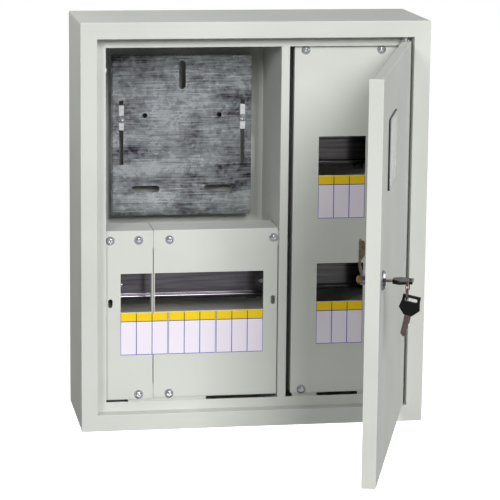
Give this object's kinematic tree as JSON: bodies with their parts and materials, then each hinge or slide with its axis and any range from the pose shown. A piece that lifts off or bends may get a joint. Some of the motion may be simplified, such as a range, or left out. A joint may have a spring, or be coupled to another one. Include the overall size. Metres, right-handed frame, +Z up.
{
  "type": "meter distribution board",
  "caption": "Sheet-steel wall board with a hinged locking door, a slotted meter plate and screwed covers with module cut-outs over 35 mm rails",
  "frame": {"origin": "centre of the four wall-fixing holes, on the outside of the back panel", "axes": "+Z up, +Y back towards the wall, +X to the right of someone facing the board; the door opens towards -Y"},
  "size_m": [0.4, 0.4714, 0.47],
  "materials": {
    "powder_coat": "fine-textured light grey powder coat",
    "galvanised_sheet": "hot-dip galvanised, faint mottling",
    "zinc_plated_steel": "bright zinc plating",
    "passivated_steel": "yellow-passivated zinc plating",
    "brass": "drawn and bare",
    "blue_insulator": "moulded",
    "label_film": "printed film, yellow header over blank white cells",
    "black_rubber": "extruded, matt",
    "clear_pane": "clear plastic sheet",
    "bright_chrome": "polished plating",
    "key_steel": "nickel plated",
    "black_grip": "moulded, satin"
  },
  "bodies": {
    "enclosure": {"enclosure_shell": "powder_coat", "back_panel": "powder_coat", "divider": "powder_coat", "meter_plate": "galvanised_sheet", "meter_plate_supports": "galvanised_sheet", "meter_plate_clamp_strips": "zinc_plated_steel", "meter_plate_screws": "zinc_plated_steel", "input_cover": "powder_coat", "module_cover": "powder_coat", "right_cover": "powder_coat", "cover_tabs": "powder_coat", "cover_support_bar": "powder_coat", "left_cover_screws": "zinc_plated_steel", "right_cover_screws": "zinc_plated_steel", "rail_stands": "galvanised_sheet", "rail_screws": "zinc_plated_steel", "neutral_bar": "brass", "neutral_bar_insulators": "blue_insulator", "neutral_bar_screws": "zinc_plated_steel", "earth_bar": "brass", "earth_bar_posts": "zinc_plated_steel", "earth_bar_screws": "zinc_plated_steel", "earth_stud": "zinc_plated_steel", "earth_stud_nut": "zinc_plated_steel", "hinge_pin_top": "zinc_plated_steel", "hinge_pin_bottom": "zinc_plated_steel", "module_rail_left": "zinc_plated_steel", "module_rail_right_upper": "zinc_plated_steel", "module_rail_right_lower": "zinc_plated_steel", "label_strip_left_1": "label_film", "label_strip_left_2": "label_film", "label_strip_left_3": "label_film", "label_strip_right_upper": "label_film", "label_strip_right_lower": "label_film"},
    "door": {"door_panel": "powder_coat", "window_gasket": "black_rubber", "window_pane": "clear_pane", "lock_housing": "bright_chrome", "lock_nut": "zinc_plated_steel"},
    "lock": {"lock_plug": "bright_chrome", "lock_cam": "passivated_steel", "cam_nut": "brass", "key_blade": "key_steel", "key_bow": "black_grip"},
    "key_ring": {"key_ring": "key_steel"},
    "spare_key": {"spare_key_blade": "key_steel", "spare_key_bow": "black_grip"}
  },
  "joints": [
    {"name": "door_hinge", "type": "hinge", "parent": "enclosure", "child": "door", "pos_m": [0.172, -0.1315, 0], "axis": [0, 0, 1], "range_deg": [-72.3, 32]},
    {"name": "lock_turn", "type": "hinge", "parent": "door", "child": "lock", "pos_m": [0.07862, -0.44547, 0.001], "axis": [0.9527, -0.304, 0], "range_deg": [0, 90]},
    {"name": "ring_swing", "type": "hinge", "parent": "lock", "child": "key_ring", "pos_m": [0.10212, -0.46129, 0.001], "axis": [0.9527, -0.304, 0], "range_deg": [-60, 30]},
    {"name": "spare_swing", "type": "hinge", "parent": "key_ring", "child": "spare_key", "pos_m": [0.10212, -0.46129, -0.01515], "axis": [0.304, 0.9527, 0], "range_deg": [-15, 15]}
  ]
}
